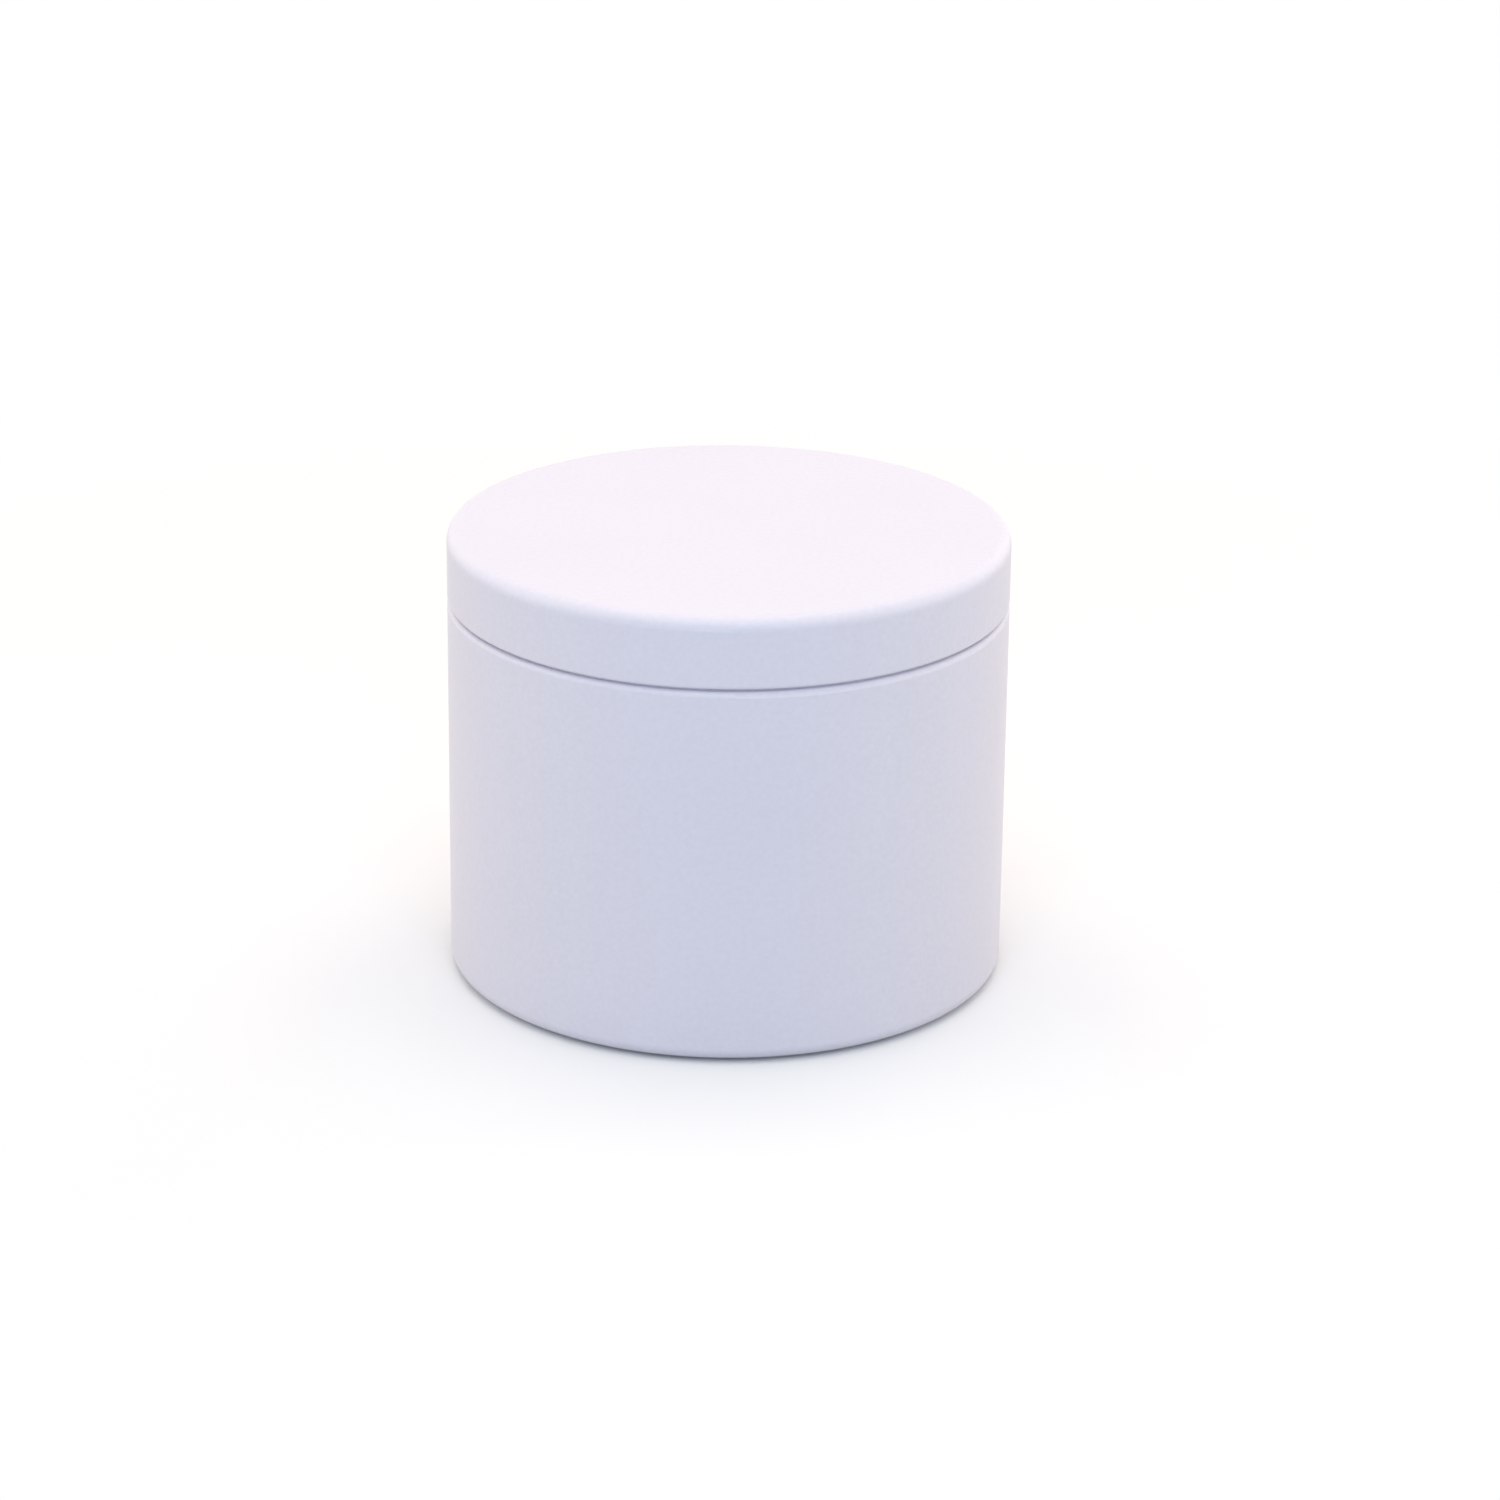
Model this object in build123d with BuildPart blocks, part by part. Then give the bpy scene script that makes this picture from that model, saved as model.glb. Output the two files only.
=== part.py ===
from build123d import *
import os
from math import sqrt

# A round candle tin with a slip lid that sits flush with its wall.
#
# Both pieces are drawn from thin sheet. Each is a section that follows the middle of the sheet,
# thickened to the gauge and turned about the Z axis. All sizes are given on the outside faces.
# The frame is +Z up, in millimetres, with the origin at the middle of the foot, on the ground.

# Sizes of the closed tin
tin_diameter = 77.0
tin_height = 63.0
sheet = 0.28  # enamelled tinplate

# Lid
lid_depth = 9.7  # from its top face to the bottom of its hem
lid_edge_radius = 1.8
hem_diameter = 0.9  # the edge of the skirt is rolled inwards
hem_sweep = 250.0

# Fits between the lid and the body
seam_gap = 0.40  # open height between the hem and the shoulder
neck_clearance = 0.10  # on the radius, between the hem and the neck
seat_gap = 0.05  # between the rolled mouth and the underside of the lid

# Body
shoulder_share = 0.82  # of the width of the step, taken by the shoulder's radius
neck_root_share = 0.15  # of the width of the step, taken by the radius at the foot of the neck
mouth_curl_diameter = 1.4  # the mouth is rolled inwards
mouth_curl_sweep = 255.0
base_corner_radius = 1.8
base_corner_rise = 0.65  # how far the corner hangs above the ground

# Base: it slopes down from the corner to a foot ring, and is raised inside the ring
foot_inset = 4.0  # from the wall to the outside of the ring
foot_width = 1.3
foot_outer_radius = 2.0
foot_inner_radius = 0.8
panel_recess = 1.4
panel_slope = 1.6
panel_radius = 1.0

# Levels and radii that follow from those sizes
half_sheet = sheet / 2
wall_radius = tin_diameter / 2
lid_rim = tin_height - lid_depth
ledge = lid_rim - seam_gap
step_width = hem_diameter + neck_clearance
neck_radius = wall_radius - step_width
curl_radius = mouth_curl_diameter / 2
foot_outside = wall_radius - foot_inset
foot_inside = foot_outside - foot_width
panel_edge = foot_inside - panel_slope

# The mouth rises to the underside of the lid, or less far where it meets the lid's rounded corner
curl_reach = max(neck_radius - curl_radius - (wall_radius - lid_edge_radius), 0)
corner_room = max(lid_edge_radius - sheet - seat_gap - curl_radius, 0)
mouth = tin_height - sheet - seat_gap - corner_room + sqrt(corner_room**2 - curl_reach**2)


def make_tin_body():
    """The drawn cup: raised base, foot ring, wall, shoulder, neck and rolled mouth."""
    wall_middle = wall_radius - half_sheet
    neck_middle = neck_radius - half_sheet
    ledge_middle = ledge - half_sheet
    with BuildPart() as tin_body:
        with BuildSketch(Plane.XZ):
            with BuildLine():
                cup = FilletPolyline(
                    (0, panel_recess + half_sheet),
                    (panel_edge, panel_recess + half_sheet),
                    (foot_inside, half_sheet),
                    (foot_outside, half_sheet),
                    (wall_middle, base_corner_rise + half_sheet),
                    (wall_middle, ledge_middle),
                    (neck_middle, ledge_middle),
                    (neck_middle, mouth - curl_radius),
                    radius=[
                        panel_radius + half_sheet,
                        foot_inner_radius - half_sheet,
                        foot_outer_radius - half_sheet,
                        base_corner_radius - half_sheet,
                        shoulder_share * step_width - half_sheet,
                        neck_root_share * step_width + half_sheet,
                    ],
                )
                JernArc(cup @ 1, cup % 1, curl_radius - half_sheet, mouth_curl_sweep)
            trace(line_width=sheet)
        revolve(axis=Axis.Z)
    tin_body.part.label = "tin_body"
    return tin_body


def make_lid():
    """The drawn cap: flat top, rounded edge, and a skirt with a rolled hem."""
    top_middle = tin_height - half_sheet
    skirt_middle = wall_radius - half_sheet
    hem_middle = hem_diameter / 2 - half_sheet
    hem_start = lid_rim + hem_diameter / 2
    with BuildPart() as lid:
        with BuildSketch(Plane.XZ):
            with BuildLine():
                cap = FilletPolyline(
                    (0, top_middle),
                    (skirt_middle, top_middle),
                    (skirt_middle, hem_start),
                    radius=lid_edge_radius - half_sheet,
                )
                JernArc(cap @ 1, cap % 1, hem_middle, -hem_sweep)
            trace(line_width=sheet)
        revolve(axis=Axis.Z)
    lid.part.label = "lid"
    return lid


os.makedirs("parts", exist_ok=True)
tin_body = make_tin_body()
lid = make_lid()
export_step(tin_body.part, "parts/tin_body.step")
export_step(lid.part, "parts/lid.step")
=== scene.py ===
from math import pi

import bpy
from mathutils import Matrix, Vector


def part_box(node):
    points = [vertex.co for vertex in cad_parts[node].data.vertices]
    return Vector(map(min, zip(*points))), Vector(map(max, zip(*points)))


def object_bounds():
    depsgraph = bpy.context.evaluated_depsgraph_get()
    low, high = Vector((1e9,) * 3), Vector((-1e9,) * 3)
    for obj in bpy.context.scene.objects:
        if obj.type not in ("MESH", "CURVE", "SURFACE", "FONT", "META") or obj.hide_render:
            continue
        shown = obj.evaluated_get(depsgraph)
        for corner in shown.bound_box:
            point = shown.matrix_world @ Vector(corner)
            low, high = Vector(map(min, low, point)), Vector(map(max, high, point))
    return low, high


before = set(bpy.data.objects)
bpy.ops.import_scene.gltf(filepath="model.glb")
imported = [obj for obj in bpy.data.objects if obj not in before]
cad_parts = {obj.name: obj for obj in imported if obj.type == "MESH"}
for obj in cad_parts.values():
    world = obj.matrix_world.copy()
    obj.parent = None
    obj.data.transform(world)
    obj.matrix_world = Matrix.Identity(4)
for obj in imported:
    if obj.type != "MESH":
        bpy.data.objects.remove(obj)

cad_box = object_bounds()


# ---------------------------------------------------------------------------------------------
# Tin body: a cup drawn in one piece from thin tinplate, so it has no side seam. The outside is
# roller-coated with satin white enamel and baked; the inside stays bright tin, with the fine
# upright scores that the drawing die leaves. The mouth is rolled inwards, enamel side out.

millimetre = 0.001
body_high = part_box("tin_body")[1]
wall_radius = body_high.x
sheet_gauge = 0.28 * millimetre
mouth_roll = 0.7 * millimetre  # radius of the rolled mouth
neck_inset = 1.0 * millimetre  # from the wall in to the neck

# Enamel: colours, the sizes of its marks, and how far each turns the white to grey
enamel_white = (0.870, 0.826, 0.906)
enamel_grey = (0.52, 0.51, 0.54)
drift_size = 22 * millimetre
grain_size = 0.7 * millimetre
peel_size = 0.8 * millimetre
nib_spacing = 7 * millimetre
nib_core, nib_rim = 0.012, 0.026  # radii of a nib, in spacings
dust_patch = 9 * millimetre
dust_start, dust_end = 0.52, 0.60  # nibs show only where the patch noise is above these
drift_tone, grain_tone, nib_tone, base_tone = 0.10, 0.25, 0.45, 0.03
satin, drift_haze, grain_haze = 0.36, 0.10, 0.08

# Tin: colours, the widths of its scores, and how far each dulls it
bright_tin = (0.80, 0.79, 0.765)
dull_tin = (0.66, 0.655, 0.64)
wall_score = 0.22 * millimetre
flat_score = 0.25 * millimetre
bloom_size = 12 * millimetre
wall_stretch, flat_stretch = 0.02, 0.015  # width of a score over its length
wall_start = wall_radius - 5 * millimetre  # the flats' scores give way to the wall's here
wall_full = wall_radius - 4 * millimetre
score_tone, bloom_tone = 0.8, 0.7
polish, score_haze, bloom_haze = 0.20, 0.12, 0.16

relief_depth = 0.012 * millimetre
relief_strength = 0.5
score_relief = 0.6  # against the relief of the enamel


class Wire:
    """An output of a shader node, on which sums are written as plain expressions."""

    def __init__(self, finish, socket):
        self.finish = finish
        self.socket = socket

    def output(self, name):
        """Another output of the same node."""
        return Wire(self.finish, self.socket.node.outputs[name])

    def maths(self, operation, *inputs):
        return self.finish.node("ShaderNodeMath", dict(operation=operation), *inputs)

    def __add__(self, other):
        return self.maths("ADD", self, other)

    def __sub__(self, other):
        return self.maths("SUBTRACT", self, other)

    def __rsub__(self, other):
        return self.maths("SUBTRACT", other, self)

    def __mul__(self, other):
        return self.maths("MULTIPLY", self, other)

    def __pow__(self, other):
        return self.maths("POWER", self, other)

    def __gt__(self, other):
        return self.maths("GREATER_THAN", self, other)

    def __lt__(self, other):
        return self.maths("LESS_THAN", self, other)

    __radd__ = __add__
    __rmul__ = __mul__

    def either(self, other):
        return self.maths("MAXIMUM", self, other)

    def ramp(self, low, high):
        """0 up to low, 1 from high on, and smooth between them."""
        settings = dict(interpolation_type="SMOOTHSTEP")
        return self.finish.node("ShaderNodeMapRange", settings, self, low, high, 0.0, 1.0)


class Finish:
    """The nodes of a material, or of the room, while they are put together."""

    def __init__(self, owner):
        owner.use_nodes = True
        self.tree = owner.node_tree
        self.tree.nodes.clear()

    def node(self, kind, settings=None, *inputs, out=0, **named):
        """Adds a node, sets it up, fills its sockets in order or by name, and gives one output."""
        made = self.tree.nodes.new(kind)
        for setting, value in (settings or {}).items():
            setattr(made, setting, value)
        pairs = list(zip(made.inputs, inputs))
        pairs += [(made.inputs[name.replace("_", " ")], value) for name, value in named.items()]
        for socket, value in pairs:
            self.fill(socket, value)
        return Wire(self, made.outputs[out]) if made.outputs else None

    def fill(self, socket, value):
        """Links a wire to a socket, or sets the socket's own value."""
        if isinstance(value, Wire):
            self.tree.links.new(value.socket, socket)
        elif socket.type == "RGBA":
            socket.default_value = (*value, 1.0)
        else:
            socket.default_value = value

    def vector(self, operation, *inputs, out="Vector"):
        return self.node("ShaderNodeVectorMath", dict(operation=operation), *inputs, out=out)

    def point(self, x, y, z):
        return self.node("ShaderNodeCombineXYZ", None, x, y, z)

    def blend(self, factor, first, second):
        """Mixes two colours."""
        mix = self.node("ShaderNodeMix", dict(data_type="RGBA"), factor).socket.node
        colours = [socket for socket in mix.inputs if socket.type == "RGBA"]
        for socket, value in zip(colours, (first, second)):
            self.fill(socket, value)
        return Wire(self, [socket for socket in mix.outputs if socket.type == "RGBA"][0])

    def noise(self, place, grain, detail=2.0, roughness=0.5):
        """Noise whose features are about grain metres across."""
        return self.node("ShaderNodeTexNoise", None, Vector=place, Scale=1 / grain,
                         Detail=detail, Roughness=roughness)

    def place(self):
        """Where a point is on the piece, which moves with it."""
        return self.node("ShaderNodeTexCoord", None, out="Object")


def white_enamel(f, place):
    """An even white with a slow drift in tone, a fine grain, and a few dust nibs."""
    drift = f.noise(place, drift_size, detail=3.0)
    grain = f.noise(place, grain_size, roughness=0.6)
    peel = f.noise(place, peel_size, roughness=0.55)
    from_nib = f.node("ShaderNodeTexVoronoi", dict(feature="F1"), Vector=place, Scale=1 / nib_spacing)
    dusty = f.noise(place, dust_patch, detail=0.0).ramp(dust_start, dust_end)
    nib = (1 - from_nib.ramp(nib_core, nib_rim)) * dusty
    tone = drift_tone * drift + grain_tone * (grain - 0.5) + nib_tone * nib + base_tone
    colour = f.blend(tone, enamel_white, enamel_grey)
    roughness = satin + drift_haze * drift + grain_haze * grain
    return colour, roughness, peel


def scored_tin(f, place, x, y, z, radius):
    """Bright metal, scored upright on the walls and along the rolling direction on the flats."""
    around = f.vector("NORMALIZE", f.point(x, y, 0.0))
    upright = f.vector("MULTIPLY_ADD", around, (wall_radius, wall_radius, 0.0),
                       f.point(0.0, 0.0, z * wall_stretch))
    lengthwise = f.point(x * flat_stretch, y, z)
    wall_scores = f.noise(upright, wall_score, detail=3.0, roughness=0.7)
    flat_scores = f.noise(lengthwise, flat_score, detail=3.0, roughness=0.7)
    on_wall = radius.ramp(wall_start, wall_full)
    scores = on_wall * wall_scores + (1 - on_wall) * flat_scores
    bloom = f.noise(place, bloom_size, detail=3.0)
    colour = f.blend((scores - 0.5) * score_tone + bloom * bloom_tone, bright_tin, dull_tin)
    roughness = polish + bloom_haze * bloom + score_haze * scores
    return colour, roughness, scores


def enamelled_tinplate(name, middle, roll_radius, roll_height, roll_size, roll_keeps):
    """Enamel on the face of the sheet that looks away from the middle, and on the roll; tin inside."""
    material = bpy.data.materials.new(name)
    f = Finish(material)
    place = f.place()
    split = f.node("ShaderNodeSeparateXYZ", None, place)
    x, y, z = (split.output(axis) for axis in "XYZ")
    radius = f.vector("LENGTH", f.point(x, y, 0.0), out="Value")

    # The direction from the middle counts its height more, because the base slopes only a little
    steepness = 3.0
    outward = f.vector("MULTIPLY_ADD", place, (1.0, 1.0, steepness), (0.0, 0.0, -steepness * middle))
    normal = f.node("ShaderNodeTexCoord", None, out="Normal")
    outside = f.vector("DOT_PRODUCT", outward, normal, out="Value") > 0.0

    # The roll turns the enamelled face inwards, so its outer skin is found by distance
    skin_start = roll_size - 0.5 * sheet_gauge
    skin_end = roll_size + 0.2 * sheet_gauge
    across = radius - roll_radius
    up = z - roll_height
    from_roll = (across * across + up * up) ** 0.5
    on_skin = (from_roll > skin_start) * (from_roll < skin_end)
    enamel = outside.either(on_skin * roll_keeps(across, up))

    white, white_roughness, peel = white_enamel(f, place)
    metal, metal_roughness, scores = scored_tin(f, place, x, y, z, radius)
    height = enamel * peel + (1 - enamel) * scores * score_relief
    surface = f.node(
        "ShaderNodeBsdfPrincipled",
        None,
        Base_Color=f.blend(enamel, metal, white),
        Metallic=1 - enamel,
        Roughness=enamel * white_roughness + (1 - enamel) * metal_roughness,
        Normal=f.node("ShaderNodeBump", None, Strength=relief_strength, Distance=relief_depth,
                      Height=height),
    )
    f.node("ShaderNodeOutputMaterial", None, surface)
    return material


def dress(node, material):
    """Gives a piece its finish."""
    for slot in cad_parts[node].material_slots:
        slot.material = material


dress("tin_body", enamelled_tinplate(
    "white_enamel_body",
    middle=0.4 * body_high.z,
    roll_radius=wall_radius - neck_inset - mouth_roll,
    roll_height=body_high.z - mouth_roll,
    roll_size=mouth_roll,
    roll_keeps=lambda across, up: 1 - (across > 0.0) * (up < 0.0),
))


# ---------------------------------------------------------------------------------------------
# Lid: a shallow cap pressed from the same coated sheet, with a flat top. The edge of its skirt
# is rolled inwards, so no raw edge shows and the skirt sits flush with the wall below it.

lid_low, lid_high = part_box("lid")
hem_roll = 0.45 * millimetre
dress("lid", enamelled_tinplate(
    "white_enamel_lid",
    middle=0.5 * (lid_low.z + lid_high.z),
    roll_radius=lid_high.x - hem_roll,
    roll_height=lid_low.z + hem_roll,
    roll_size=hem_roll,
    roll_keeps=lambda across, up: 1 - (across > 0.0) * (up > 0.0),
))


# ---------------------------------------------------------------------------------------------
# Ground: a wide pale table top that the tin stands on. It fades to the white of the background,
# which starts two tin heights away and is reached at four and a half.

tin_low, tin_high = cad_box
tin_height = tin_high[2] - tin_low[2]
ground_reach = 60 * tin_height
fade_start, fade_end = 2.0 * tin_height, 4.5 * tin_height
ground_seen = (0.99, 0.985, 0.97)
ground_bounce = (0.65, 0.65, 0.65)
plain_white = (1.0, 1.0, 1.0)

ground_mesh = bpy.data.meshes.new("ground")
corners = [(-1, -1), (1, -1), (1, 1), (-1, 1)]
ground_mesh.from_pydata([(ground_reach * i, ground_reach * j, 0) for i, j in corners], [], [(0, 1, 2, 3)])
ground = bpy.data.objects.new("ground", ground_mesh)
bpy.context.scene.collection.objects.link(ground)


def seen(f):
    """1 where the camera, a gloss or a glass looks, and 0 where light is only passed on."""
    path = f.node("ShaderNodeLightPath", None, out="Is Camera Ray")
    return path.either(path.output("Is Glossy Ray")).either(path.output("Is Transmission Ray"))


ground_white = bpy.data.materials.new("ground_white")
f = Finish(ground_white)
looked_at = seen(f)
matte = f.node("ShaderNodeBsdfDiffuse", None, Color=f.blend(looked_at, ground_bounce, ground_seen))
glow = f.node("ShaderNodeEmission", None, Color=plain_white, Strength=1.0)
far = f.vector("LENGTH", f.place(), out="Value").ramp(fade_start, fade_end)
f.node("ShaderNodeOutputMaterial", None, f.node("ShaderNodeMixShader", None, looked_at * far, matte, glow))
ground_mesh.materials.append(ground_white)


# ---------------------------------------------------------------------------------------------
# Light: a broad soft light overhead and six around the tin, the front ones cooler, in a white room.
# Each is placed and sized in tin heights, and its power is in watts.

room_air = (0.505, 0.505, 0.511)
world = bpy.data.worlds.new("room")
bpy.context.scene.world = world
f = Finish(world)
f.node("ShaderNodeOutputWorld", None, f.node("ShaderNodeBackground", None, Strength=1.0,
                                             Color=f.blend(seen(f), room_air, plain_white)))

tin_middle = Vector((0, 0, 0.5 * tin_height))


def soft_light(name, place, size, power, colour):
    """A square lamp that faces the middle of the tin."""
    lamp = bpy.data.lights.new(name, "AREA")
    lamp.shape = "SQUARE"
    lamp.size = size * tin_height
    lamp.energy = power
    lamp.color = colour
    holder = bpy.data.objects.new(name, lamp)
    holder.location = Vector(place) * tin_height
    holder.rotation_euler = (tin_middle - holder.location).to_track_quat("-Z", "Y").to_euler()
    holder.visible_camera = False
    bpy.context.scene.collection.objects.link(holder)


soft_light("overhead", (0.0, 0.5, 9.0), 8.0, 1.15, (1.0, 0.88, 0.81))
soft_light("front_top", (0.0, -6.0, 7.5), 5.0, 0.54, (0.75, 0.87, 1.0))
soft_light("front_low", (0.0, -9.0, 2.5), 6.0, 0.42, (0.0, 0.46, 1.0))
soft_light("left_side", (-9.0, -1.0, 3.5), 7.0, 0.53, (1.0, 0.99, 0.93))
soft_light("right_side", (9.0, -1.0, 3.5), 7.0, 0.49, (1.0, 0.99, 0.90))
soft_light("left_back", (-6.5, 6.5, 4.0), 8.0, 0.56, (1.0, 0.94, 0.89))
soft_light("right_back", (6.5, 6.5, 4.0), 8.0, 0.79, (1.0, 0.93, 0.90))


# ---------------------------------------------------------------------------------------------
# Camera: a long lens, looking down at the tin from in front. Its place is in tin radii, and its
# three angles are in radians.

tin_radius = 0.5 * (tin_high[0] - tin_low[0])
look_down = 0.36386
turn = 0.00496
tilt = 0.01128

camera = bpy.data.objects.new("camera", bpy.data.cameras.new("camera"))
camera.data.sensor_width = 36.0
camera.data.lens = 118.4
camera.location = Vector((0.0, -16.604, 7.112)) * tin_radius
camera.rotation_euler = (
    Matrix.Rotation(-turn, 3, "Z")
    @ Matrix.Rotation(pi / 2 - look_down, 3, "X")
    @ Matrix.Rotation(tilt, 3, "Z")
).to_euler()
bpy.context.scene.collection.objects.link(camera)
bpy.context.scene.camera = camera
bpy.context.scene.view_settings.view_transform = "Standard"
